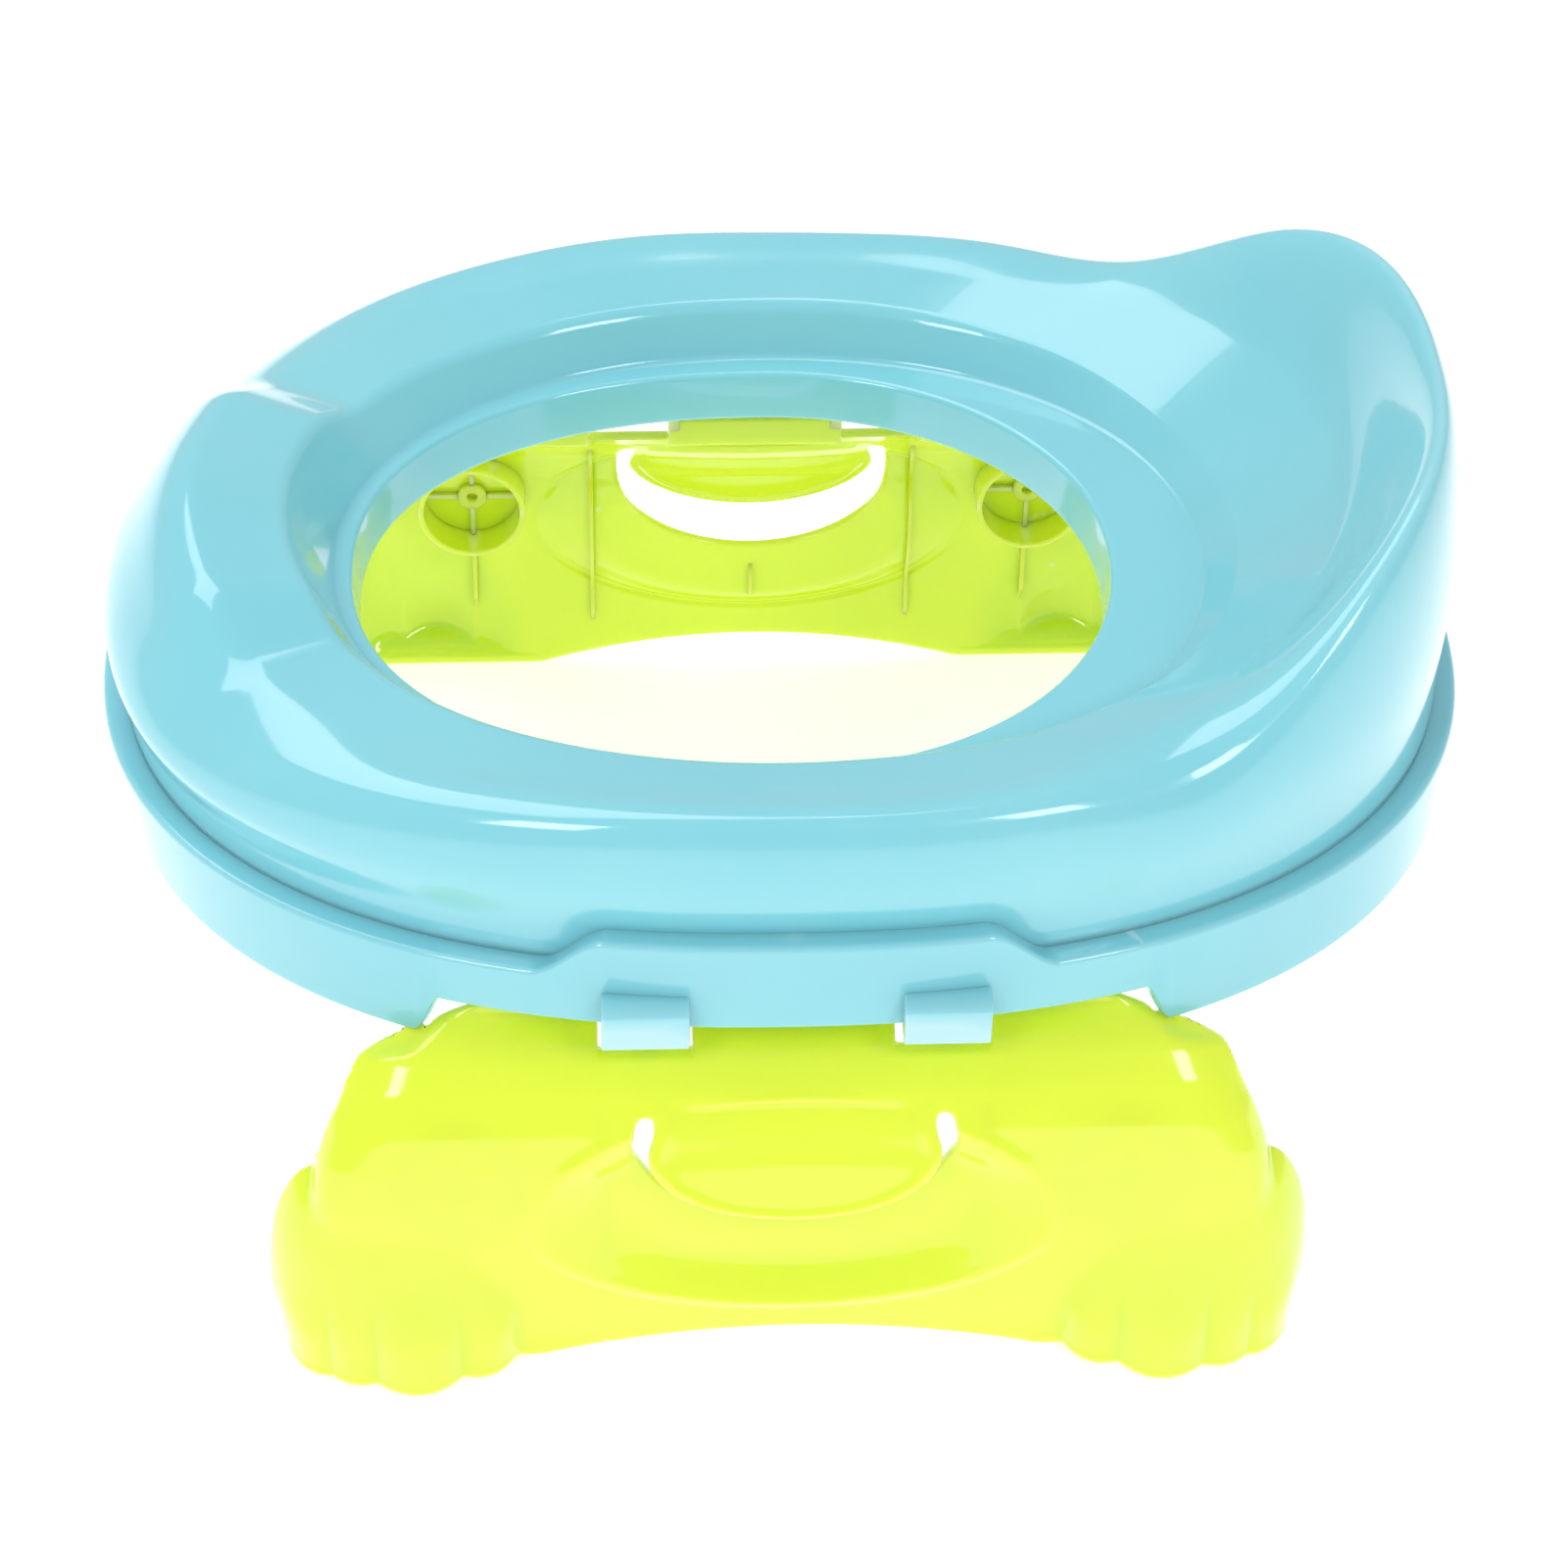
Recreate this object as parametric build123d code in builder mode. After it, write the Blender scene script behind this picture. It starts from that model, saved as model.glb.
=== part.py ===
"""Folding travel potty seat: an oval seat on two fold-out legs with paw-shaped feet.

X runs from the rear (-X) to the splash guard at the front (+X), Y runs across the seat,
Z is up, and the origin is on the floor below the hinge clips' centre. Each leg hangs by two
moulded bars in clips under the seat. It folds in under the seat for storage and out flat
to lie on a toilet's rim. Millimetres.
"""
from build123d import *
import os
from math import atan2, cos, hypot, pi, radians, sin

os.makedirs("parts", exist_ok=True)

# ---- driving dimensions ----
WALL = 2.6                       # moulded wall of every piece
SKIRT = (163.5, 160.0, 122.5)    # skirt's reach to the front, to the rear and to each side
OVAL = 2.3                       # roundness of the skirt's outline: 2 is an ellipse
SKIRT_BOTTOM = 89.0
NOTCH_BOTTOM = 97.0              # the skirt is cut higher over each leg
NOTCH_HALF = 82.0
LEDGE_TOP = 110.0                # ledge on which the seat shell stands
FOOT_INSET = 5.5                 # from the skirt's face to the seat shell's foot
HOLE = (78.0, 98.0, 73.5)
HOLE_BOTTOM = 120.5
RECESS_FLOOR = 133.5

HINGE_Y = 113.5                  # hinge axis, parallel to X
HINGE_Z = 100.4
BAR_RADIUS = 2.0                 # moulded bar across each window of a leg
SOCKET_RADIUS = 2.06             # clip socket that turns on the bar
WINDOW_HALF = 10.8
WINDOW_BOTTOM = 84.5
CLIP_X = 33.3                    # clips and windows stand at x = +-CLIP_X
CLIP_HALF = 9.9

HUMP_TOP = 120.0                 # raised part of the skirt above the hinge
HUMP_BASE_HALF = 57.0
HUMP_TOP_HALF = 44.0

LEG_TOP = 97.5
ARCH_HALF = 57.5                 # arch between the two paws of a leg
ARCH_RISE = 8.7
SLOT_CENTRE_Z = 68.0             # crescent slot round the grip tongue
SLOT_HALF = (36.0, 26.0)
TONGUE_HALF = (33.8, 18.2)
BOSS_X, BOSS_Z = 75.7, 57.0      # ring bosses on the inner face of a leg
BOSS_RADIUS, BOSS_WALL = 14.5, 1.6
BOSS_FACE = 121.0                # reach of the rings' free rims from the centre plane

# Section lines of the seat shell, from the hole outwards. Each has its reach to the front,
# to the rear and to the side, its roundness, and its heights every 15 degrees from the front.
TURN = 15
RECESS_EDGE = ((101.5, 104.0, 83.0), 2.1, (RECESS_FLOOR,) * 13)
SHOULDER = ((109, 113, 88.5), 2.1, (141, 141, 141.5, 144, 145, 146, 146, 146, 146, 146, 147, 151, 154))
MIDDLE = ((130, 134, 101), 2.2, (158, 158, 156, 151, 149, 148.5, 148.5, 148.5, 148, 146.5, 148, 156, 161))
CREST = ((152, 149, 114.5), 2.3, (189, 188.5, 178, 155, 150.5, 150.5, 150.5, 150.5, 148.5, 145, 140, 138.5, 142))
FLANK = ((159.5, 156, 119.5), 2.3, (160, 159, 153, 141, 136.5, 136, 136, 136, 135, 132, 128, 126, 126))


def oval_radius(reach, roundness, angle):
    """Polar radius of an oval whose front and rear reach differ."""
    front, rear, side = reach
    along = front if cos(angle) >= 0 else rear
    return (abs(cos(angle) / along) ** roundness + abs(sin(angle) / side) ** roundness) ** (-1 / roundness)


def grown(reach, amount):
    return tuple(value + amount for value in reach)


def oval_outline(reach):
    """Closed outline of an oval."""
    points = []
    for step in range(48):
        angle = 2 * pi * step / 48
        radius = oval_radius(reach, OVAL, angle)
        points.append((radius * cos(angle), radius * sin(angle)))
    with BuildLine() as outline:
        Spline(points, periodic=True)
    return outline.edges()


def inset(points, distance):
    """The same path moved sideways by the wall, to the right of its direction."""
    moved = []
    for index, (x, y) in enumerate(points):
        before = points[max(index - 1, 0)]
        after = points[min(index + 1, len(points) - 1)]
        into = (x - before[0], y - before[1]) if index else (after[0] - x, after[1] - y)
        out = (after[0] - x, after[1] - y) if index < len(points) - 1 else into
        into_length, out_length = hypot(*into), hypot(*out)
        normal_x = into[1] / into_length + out[1] / out_length
        normal_y = -into[0] / into_length - out[0] / out_length
        length = hypot(normal_x, normal_y)
        stretch = distance / (length / 2) / length
        moved.append((x + normal_x * stretch, y + normal_y * stretch))
    return moved


# ---- seat shell ----
def seat_section(turns):
    """Outer path of the seat shell's section at a number of turns of 15 degrees from the front."""
    angle = radians(TURN * turns)
    station = min(abs(turns), 24 - turns)
    hole = oval_radius(HOLE, 2.05, angle)
    foot = oval_radius(grown(SKIRT, -FOOT_INSET), OVAL, angle)
    path = [(hole, HOLE_BOTTOM), (hole + 1.5, RECESS_FLOOR)]
    for reach, roundness, heights in (RECESS_EDGE, SHOULDER, MIDDLE, CREST, FLANK):
        path.append((oval_radius(reach, roundness, angle), heights[station]))
    path += [(foot, LEDGE_TOP + 7), (foot, LEDGE_TOP)]
    return path


def thin_outline(path, straight):
    """Outline between a path and its inset; the first `straight` legs are straight lines."""
    inner = inset(path, WALL)
    inner[-1] = (inner[-1][0], path[-1][1])
    with BuildLine() as outline:
        for side in (path, inner):
            for index in range(straight):
                Line(side[index], side[index + 1])
            Spline(side[straight:-1])
            Line(side[-2], side[-1])
        Line(path[0], inner[0])
        Line(path[-1], inner[-1])
    return outline.edges()


with BuildPart() as seat_shell:
    for turns in range(-1, 14):
        angle = radians(TURN * turns)
        radial = Plane((0, 0, 0), x_dir=(cos(angle), sin(angle), 0), z_dir=(sin(angle), -cos(angle), 0))
        with BuildSketch(radial):
            make_face(thin_outline(seat_section(turns), 2))
    loft()
    split(bisect_by=Plane.XZ, keep=Keep.BOTTOM)
    mirror(about=Plane.XZ)
seat_shell.part.label = "seat_shell"

# ---- skirt frame ----
GAP = 0.3                        # fit between pieces that stay together
LEDGE_INNER = grown(SKIRT, -FOOT_INSET - WALL - GAP)
UPSTAND_INNER = grown(LEDGE_INNER, -2.0)
UPSTAND_START = 104.0            # the locating upstand is left out over the legs
TAB_BOTTOM = 95.5


def clip_outline():
    """Side view of a hinge clip: a socket open at the bottom, with the stepped tab outside it."""
    throat = 1.7
    jaw_bottom = HINGE_Z - 3.0
    nose = SKIRT[2] + 4.6
    face = SKIRT[2] + 1.0
    root = SKIRT[2] - 4.0
    with BuildLine() as outline:
        Polyline(
            (HINGE_Y - 4.7, LEDGE_TOP - WALL),
            (HINGE_Y - 4.7, jaw_bottom),
            (HINGE_Y - throat, jaw_bottom),
            (HINGE_Y - throat, HINGE_Z),
            (HINGE_Y + throat, HINGE_Z),
            (HINGE_Y + throat, jaw_bottom),
            (root, jaw_bottom),
            (root, TAB_BOTTOM),
            (nose, TAB_BOTTOM),
            (nose, 103.0),
            (nose - 1.0, 104.2),
            (face, 104.4),
            (face, 109.0),
            (root, 109.0),
            (root, LEDGE_TOP - WALL),
            close=True,
        )
    return outline.edges()


def hump_outline():
    """Front view of the raised wall above the hinge, with S-shaped ends."""
    with BuildLine() as outline:
        Spline((-HUMP_BASE_HALF, LEDGE_TOP), (-50, 113), (-HUMP_TOP_HALF, HUMP_TOP),
               tangents=((1, 0.1), (1, 0.1)))
        Line((-HUMP_TOP_HALF, HUMP_TOP), (HUMP_TOP_HALF, HUMP_TOP))
        Spline((HUMP_TOP_HALF, HUMP_TOP), (50, 113), (HUMP_BASE_HALF, LEDGE_TOP),
               tangents=((1, -0.1), (1, -0.1)))
        Line((HUMP_BASE_HALF, LEDGE_TOP), (HUMP_BASE_HALF, LEDGE_TOP - WALL))
        Line((HUMP_BASE_HALF, LEDGE_TOP - WALL), (-HUMP_BASE_HALF, LEDGE_TOP - WALL))
        Line((-HUMP_BASE_HALF, LEDGE_TOP - WALL), (-HUMP_BASE_HALF, LEDGE_TOP))
    return outline.edges()


with BuildPart() as hump:
    with BuildSketch(Plane.XY.offset(LEDGE_TOP - WALL)):
        make_face(oval_outline(SKIRT))
        make_face(oval_outline(grown(SKIRT, -3.4)), mode=Mode.SUBTRACT)
    extrude(amount=HUMP_TOP - LEDGE_TOP + WALL)
    with BuildSketch(Plane.XZ):
        make_face(hump_outline())
    extrude(amount=SKIRT[2] + 10, both=True, mode=Mode.INTERSECT)

with BuildPart() as upstand:
    with BuildSketch(Plane.XY.offset(LEDGE_TOP - WALL)):
        make_face(oval_outline(LEDGE_INNER))
        make_face(oval_outline(UPSTAND_INNER), mode=Mode.SUBTRACT)
        Rectangle(2 * UPSTAND_START, 2 * SKIRT[2], mode=Mode.SUBTRACT)
    extrude(amount=WALL + 4)

with BuildPart() as skirt_frame:
    with BuildSketch(Plane.XY.offset(SKIRT_BOTTOM)):
        make_face(oval_outline(SKIRT))
        make_face(oval_outline(grown(SKIRT, -WALL)), mode=Mode.SUBTRACT)
    extrude(amount=LEDGE_TOP - SKIRT_BOTTOM)
    with BuildSketch(Plane.XY.offset(LEDGE_TOP - WALL)):
        make_face(oval_outline(grown(SKIRT, -WALL / 2)))
        make_face(oval_outline(LEDGE_INNER), mode=Mode.SUBTRACT)
    extrude(amount=WALL)
    with BuildSketch(Plane.XZ):
        with Locations((0, SKIRT_BOTTOM)):
            Rectangle(2 * NOTCH_HALF, 2 * (NOTCH_BOTTOM - SKIRT_BOTTOM))
    extrude(amount=SKIRT[2] + 10, both=True, mode=Mode.SUBTRACT)
    add(upstand.part)
    add(hump.part)
    for x in (-CLIP_X, CLIP_X):
        with BuildSketch(Plane.YZ.offset(x)):
            make_face(clip_outline())
        extrude(amount=CLIP_HALF, both=True)
        with BuildSketch(Plane.YZ.offset(x)):
            with Locations((HINGE_Y, HINGE_Z)):
                Circle(SOCKET_RADIUS)
        extrude(amount=CLIP_HALF + 1, both=True, mode=Mode.SUBTRACT)
    split(bisect_by=Plane.XZ, keep=Keep.BOTTOM)
    mirror(about=Plane.XZ)
skirt_frame.part.label = "skirt_frame"

# ---- legs ----
# Outer face of a leg at its middle, as reach from the centre plane and height, top first.
FACE = ((109.5, 97.5), (109.5, 92), (112.5, 88.6), (118, 84.5), (124.5, 79), (129.5, 72),
        (132.4, 63), (133.6, 52), (133.6, 38), (132.4, 22), (130.6, 8), (130, 0))
LEG_STATIONS = (0, 30, 58, 68, 78, 88, 98, 108, 119)
EDGE_START, EDGE_DROP = 76.0, 8.0            # the column curls back towards its sides
PAW_REACH = 7.5                              # how far the toes stand out from the column
PAW_TOP = 46.0
SOLE_INNER = 127.5                           # reach of the paw sole's inner edge
LUG_Y = 108.2                                # the lugs rise from the middle of the panel's top edge
RIB = 1.2
RIB_DEPTH = 2.0


def ease(value):
    value = min(max(value, 0.0), 1.0)
    return value * value * (3 - 2 * value)


def leg_section(x):
    """Outer path of a leg's section at a distance from its middle, from the top down."""
    path = []
    for reach, height in FACE:
        upper = ease((height - 60) / 25)
        curl = EDGE_DROP * ease((x - EDGE_START) / 34) * (1 - upper)
        paw = ease((x - 60) / 18) * ease((124 - x) / 16) * ease((PAW_TOP - height) / 18)
        path.append((reach - curl + (PAW_REACH + curl * 0.6) * paw, height))
    return path


def reach_at(x, height):
    """Reach of the outer face of a leg at a place on it."""
    path = leg_section(abs(x))
    for (high_reach, high), (low_reach, low) in zip(path, path[1:]):
        if low <= height <= high:
            return low_reach + (high_reach - low_reach) * (height - low) / (high - low)
    return path[0][0]


def leg_outline():
    """Front view of a leg: shoulders, column, the two paws and the arch between them."""
    half = ((60, LEG_TOP), (75, 91), (84, 85.5), (97, 83), (100, 79), (103, 72), (107, 60), (108, 53))
    paw = ((115, 49), (118.2, 40), (117.6, 28), (114.5, 12), (107, 0))
    with BuildLine() as outline:
        for side in (-1, 1):
            Line((0, LEG_TOP), (side * half[0][0], LEG_TOP))
            Polyline([(side * x, z) for x, z in half])
            Spline([(side * x, z) for x, z in (half[-1],) + paw])
            Line((side * paw[-1][0], 0), (side * ARCH_HALF, 0))
        ThreePointArc((-ARCH_HALF, 0), (0, ARCH_RISE), (ARCH_HALF, 0))
    return outline.edges()


def rib_outline(x, low, high):
    """Side view of a rib along the inner face of a leg."""
    steps = [low + (high - low) * index / 8 for index in range(9)]
    outer = [(reach_at(x, z) - WALL / 2, z) for z in steps]
    inner = [(reach - WALL / 2 - RIB_DEPTH, z) for reach, z in outer]
    with BuildLine() as outline:
        Polyline(outer + inner[::-1], close=True)
    return outline.edges()


with BuildPart() as left_leg:
    for x in [-station for station in LEG_STATIONS[:0:-1]] + list(LEG_STATIONS):
        with BuildSketch(Plane.YZ.offset(x)):
            make_face(thin_outline(leg_section(abs(x)), 1))
    loft()
    with BuildSketch(Plane.XZ):
        make_face(leg_outline())
    extrude(amount=-HINGE_Y - 60, mode=Mode.INTERSECT)
    with BuildSketch(Plane.XY):
        for side in (-1, 1):
            with BuildLine():
                Spline([(side * x, reach_at(x, 1) - 1) for x in (58, 68, 78, 88, 98, 108)])
                Line((side * 108, reach_at(108, 1) - 1), (side * 108, SOLE_INNER))
                Line((side * 108, SOLE_INNER), (side * 58, SOLE_INNER))
                Line((side * 58, SOLE_INNER), (side * 58, reach_at(58, 1) - 1))
            make_face()
    extrude(amount=WALL)
    # bosses with a centre post on four cross ribs
    for x in (-BOSS_X, BOSS_X):
        root = reach_at(x, BOSS_Z - BOSS_RADIUS) - WALL
        with BuildSketch(Plane.XZ.offset(-BOSS_FACE)):
            with Locations((x, BOSS_Z)):
                Circle(BOSS_RADIUS)
                Circle(BOSS_RADIUS - BOSS_WALL, mode=Mode.SUBTRACT)
        extrude(amount=-(root - BOSS_FACE))
        with BuildSketch(Plane.XZ.offset(-BOSS_FACE - 7.3)):
            with Locations((x, BOSS_Z)):
                Circle(4)
                Rectangle(2 * BOSS_RADIUS - BOSS_WALL, RIB)
                Rectangle(RIB, 2 * BOSS_RADIUS - BOSS_WALL)
                Circle(1.4, mode=Mode.SUBTRACT)
        extrude(amount=-(root - BOSS_FACE - 7.3))
    for x, low, high in ((-41.5, 12, 76), (41.5, 12, 76), (-BOSS_X, 22, 43), (BOSS_X, 22, 43), (0, 26, 38)):
        with BuildSketch(Plane.YZ.offset(x)):
            make_face(rib_outline(x, low, high))
        extrude(amount=RIB / 2, both=True)
    # crescent slot that leaves the grip tongue
    with BuildSketch(Plane.XZ):
        with Locations((0, SLOT_CENTRE_Z)):
            Ellipse(*SLOT_HALF)
            Ellipse(*TONGUE_HALF, mode=Mode.SUBTRACT)
        with Locations((0, SLOT_CENTRE_Z + 25)):
            Rectangle(90, 38, mode=Mode.SUBTRACT)
    extrude(amount=-HINGE_Y - 60, mode=Mode.SUBTRACT)
    # windows that the clips pass through, each with the bar that turns in its clip
    for x in (-CLIP_X, CLIP_X):
        with BuildSketch(Plane.XZ):
            with Locations((x, (WINDOW_BOTTOM + LEG_TOP + 5) / 2)):
                Rectangle(2 * WINDOW_HALF, LEG_TOP + 5 - WINDOW_BOTTOM)
        extrude(amount=-HINGE_Y - 60, mode=Mode.SUBTRACT)
        with BuildSketch(Plane.YZ.offset(x)):
            with Locations((HINGE_Y, HINGE_Z)):
                Circle(BAR_RADIUS)
        extrude(amount=WINDOW_HALF + 1, both=True)
        for edge in (-1, 1):
            with BuildSketch(Plane.YZ.offset(x + edge * (WINDOW_HALF + 1.5))):
                with Locations((HINGE_Y, HINGE_Z)):
                    Circle(2.9)
                with Locations((LUG_Y, LEG_TOP + 1.5)):
                    Rectangle(2.2, 2.8)
                make_hull()
                with Locations((LUG_Y, LEG_TOP - 1)):
                    Rectangle(2.2, 6)
            extrude(amount=1.5, both=True)
left_leg.part.label = "left_leg"

with BuildPart() as right_leg:
    add(left_leg.part.mirror(Plane.XZ))
right_leg.part.label = "right_leg"

for piece in (seat_shell, skirt_frame, left_leg, right_leg):
    export_step(piece.part, f"parts/{piece.part.label}.step")
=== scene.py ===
"""Looks of the folding potty seat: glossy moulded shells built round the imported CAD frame."""
from math import cos, pi, radians, sin

import bmesh
import bpy
import numpy as np
from mathutils import Matrix, Vector


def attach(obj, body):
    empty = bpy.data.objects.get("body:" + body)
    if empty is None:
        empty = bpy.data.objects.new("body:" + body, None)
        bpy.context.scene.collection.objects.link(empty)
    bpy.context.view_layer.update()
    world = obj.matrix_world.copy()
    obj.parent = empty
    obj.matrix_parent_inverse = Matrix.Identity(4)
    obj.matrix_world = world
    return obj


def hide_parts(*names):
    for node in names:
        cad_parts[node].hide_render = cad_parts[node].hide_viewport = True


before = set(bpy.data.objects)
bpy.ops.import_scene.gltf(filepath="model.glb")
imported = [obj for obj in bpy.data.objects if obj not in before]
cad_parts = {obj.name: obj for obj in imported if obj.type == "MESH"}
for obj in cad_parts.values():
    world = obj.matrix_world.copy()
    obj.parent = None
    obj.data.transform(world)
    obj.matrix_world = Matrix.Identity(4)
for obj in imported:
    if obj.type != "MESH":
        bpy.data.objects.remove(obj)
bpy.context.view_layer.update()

MM = 0.001

# ---- sizes of the object, in millimetres, as in the CAD frame ----
WALL = 2.6
SKIRT = (163.5, 160.0, 122.5)    # skirt's reach to the front, to the rear and to each side
OVAL = 2.3
HOLE = (78.3, 98.5, 74.5)
HOLE_ROUND_FRONT, HOLE_ROUND_REAR = 2.05, 2.25
HOLE_BOTTOM = 120.5
RECESS_FLOOR = 133.5
LEDGE_TOP = 110.0
FOOT_INSET = 5.5

SKIRT_BOTTOM = 87.0
DRAW_FRONT, DRAW_REAR, SIDE_FLARE = 1.2, 3.5, 2.2    # how the skirt leans towards its lower edge
RIM_DEPTH = 5.6
UPSTAND_OUTER, UPSTAND_INNER = 8.7, 10.7             # the upstand's two faces, inwards from the skirt's
UPSTAND_START, UPSTAND_RISE = 104.0, 3.6
NOTCH_BOTTOM = 97.0
NOTCH_HALF = 82.0
HUMP_TOP = 120.8
HUMP_BASE_HALF = 59.0
HUMP_TOP_HALF = 42.5

HINGE_Y = 113.5
HINGE_Z = 100.4
BAR_RADIUS = 2.0
SOCKET_RADIUS = 2.06
CLIP_X = 33.3
CLIP_HALF = 9.7
WINDOW_HALF = 10.5
WINDOW_BOTTOM = 85.6

LEG_TOP = 97.5
BOSS_X, BOSS_Z = 75.7, 57.0
BOSS_RADIUS, BOSS_WALL = 14.5, 1.6
BOSS_FACE = 121.0
BOSS_ROOT = 132.4                # where rings and posts end, inside the leg's wall
POST_RADIUS, BORE_RADIUS = 4.0, 1.4
POST_SETBACK, CROSS_RIB_SETBACK = 7.3, 7.8
SOLE_INNER = 127.5
SOLE_THICKNESS = 2.6
RIB_X = 43.5

RECESS_Z = 48.0                  # oval recess in a leg's outer face
RECESS_HALF = (59.0, 29.8)
RECESS_DEPTH = 5.8
SLOT_Z = 68.0                    # crescent slot round the grip tongue
SLOT_HALF = (36.4, 26.0)
SLOT_TOP = 74.8
TONGUE_HALF = (33.4, 18.2)
TONGUE_WAIST = 1.8
ARCH_HALF, ARCH_HEIGHT = 57.5, 8.7
PAW_X, PAW_Y = 90.0, 114.0
PAW_HALF = (31.2, 24.4)
LEG_LOW, LEG_HIGH = (-121.0, 103.0, -1.2), (121.0, 143.0, 99.0)    # box that holds the left leg

# Rings of the seat from the recess outwards: reach to the front, rear and side, roundness,
# and heights every 15 degrees from the front to the rear.
RECESS_EDGE = ((101.5, 104.0, 83.0), 2.1, (RECESS_FLOOR,) * 13)
SHOULDER = ((109, 114.5, 88.5), 2.1, (141, 141, 141.5, 144, 145, 146, 146, 146, 146, 146, 146.5, 146.5, 147.5))
MIDDLE = ((130, 134, 101), 2.2, (158, 158, 156, 151, 149, 148.5, 148.5, 148.5, 148, 146.5, 147, 147.5, 150.5))
CREST = ((151, 150, 114.5), 2.3, (190, 190, 177, 153.5, 150.5, 150.5, 150.5, 150.5, 148.5, 145, 140.5, 138.5, 142))
FLANK = ((158.3, 157.5, 119.5), 2.3, (160, 159, 153, 141, 136.5, 136, 136, 136, 135, 132, 128, 127, 127))

RINGS = (RECESS_EDGE, SHOULDER, MIDDLE, CREST, FLANK)
HILL = (0.0, 6.5, 9.5, 5.5, 0.0)    # how much the hill at the rear adds to each ring
HILL_HALF, HILL_SLOPE = radians(26), radians(11)


# ---- curves ----
def ease(value):
    value = np.clip(value, 0.0, 1.0)
    return value * value * (3 - 2 * value)


def oval_radius(reach, roundness, angle):
    """Polar radius of an oval whose front and rear reach differ."""
    front, rear, side = reach
    along = np.where(np.cos(angle) >= 0, front, rear)
    return (np.abs(np.cos(angle) / along) ** roundness
            + np.abs(np.sin(angle) / side) ** roundness) ** (-1 / roundness)


def hole_radius(angle):
    """Polar radius of the hole, which is squarer towards the rear."""
    return float(oval_radius(HOLE, HOLE_ROUND_FRONT if cos(angle) > 0 else HOLE_ROUND_REAR, angle))


def grown(reach, amount):
    return tuple(value + amount for value in reach)


def round_spline(half_turn, angle):
    """Smooth closed curve through values given from the front to the rear, read at angles."""
    values = np.array(list(half_turn) + list(half_turn[-2:0:-1]), float)
    count = len(values)
    near = np.roll(np.eye(count), 1, axis=1)
    bends = np.linalg.solve(4 * np.eye(count) + near + near.T,
                            6 * (np.roll(values, -1) - 2 * values + np.roll(values, 1)))
    place = (np.asarray(angle) / (2 * pi) * count) % count
    first = np.floor(place).astype(int) % count
    second = (first + 1) % count
    after = place - np.floor(place)
    before = 1 - after
    return (before * values[first] + after * values[second]
            + ((before ** 3 - before) * bends[first] + (after ** 3 - after) * bends[second]) / 6)


def spline_path(points, start, end, count):
    """Points along a smooth curve through the given ones, leaving and arriving in set directions."""
    points = np.array(points, float)
    steps = np.linalg.norm(np.diff(points, axis=0), axis=1)
    places = np.concatenate(([0], np.cumsum(steps)))
    size = len(points)
    matrix = np.eye(size)
    slopes = np.zeros_like(points)
    slopes[0], slopes[-1] = start, end
    for row in range(1, size - 1):
        before, after = steps[row - 1], steps[row]
        matrix[row, row - 1:row + 2] = 1 / before, 2 / before + 2 / after, 1 / after
        slopes[row] = 3 * ((points[row] - points[row - 1]) / before ** 2
                           + (points[row + 1] - points[row]) / after ** 2)
    slopes = np.linalg.solve(matrix, slopes)
    read = np.linspace(0, places[-1], count)
    span = np.clip(np.searchsorted(places, read, side="right") - 1, 0, size - 2)
    length = steps[span][:, None]
    t = ((read - places[span]) / steps[span])[:, None]
    return (points[span] * (1 + 2 * t) * (1 - t) ** 2 + slopes[span] * length * t * (1 - t) ** 2
            + points[span + 1] * t * t * (3 - 2 * t) + slopes[span + 1] * length * t * t * (t - 1))


def blurred(points, blur):
    """A function that reads a softened run of straight lines through points."""
    points = np.array(sorted(points), float)
    step = 0.1
    read = np.arange(points[0, 0] - 4 * blur, points[-1, 0] + 4 * blur, step)
    values = np.interp(read, points[:, 0], points[:, 1])
    weights = np.exp(-0.5 * (np.arange(-3 * blur, 3 * blur + step, step) / blur) ** 2)
    soft = np.convolve(np.pad(values, len(weights) // 2, mode="edge"), weights / weights.sum(), "valid")
    soft = soft[:len(read)]
    return lambda at: np.interp(at, read, soft)


def filleted(points, radii, arc_steps=5, closed=False):
    """A polyline with each inner corner rounded; every rounded corner has the same number of points."""
    points = np.array(points, float)
    count = len(points)
    result = []
    for index in range(count):
        if not closed and index in (0, count - 1):
            result.append(points[index])
            continue
        corner = points[index]
        to_before = points[index - 1] - corner
        to_after = points[(index + 1) % count] - corner
        before_length, after_length = np.linalg.norm(to_before), np.linalg.norm(to_after)
        to_before, to_after = to_before / before_length, to_after / after_length
        half = 0.5 * np.arccos(np.clip(to_before @ to_after, -1, 1))
        reach = min(radii[index] / max(np.tan(half), 1e-3), 0.46 * before_length, 0.46 * after_length)
        radius = reach * np.tan(half)
        if half > pi / 2 - 0.02:
            for share in np.linspace(-1, 1, arc_steps):
                result.append(corner + (to_after if share > 0 else to_before) * abs(share) * 0.1)
            continue
        bisector = (to_before + to_after) / np.linalg.norm(to_before + to_after)
        centre = corner + bisector * (radius / np.sin(half))
        start = corner + to_before * reach - centre
        stop = corner + to_after * reach - centre
        turn = np.arctan2(start[0] * stop[1] - start[1] * stop[0], start @ stop)
        for share in np.linspace(0, 1, arc_steps):
            c, s = np.cos(turn * share), np.sin(turn * share)
            result.append(centre + np.array((c * start[0] - s * start[1], s * start[0] + c * start[1])))
    return np.array(result)


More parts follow.
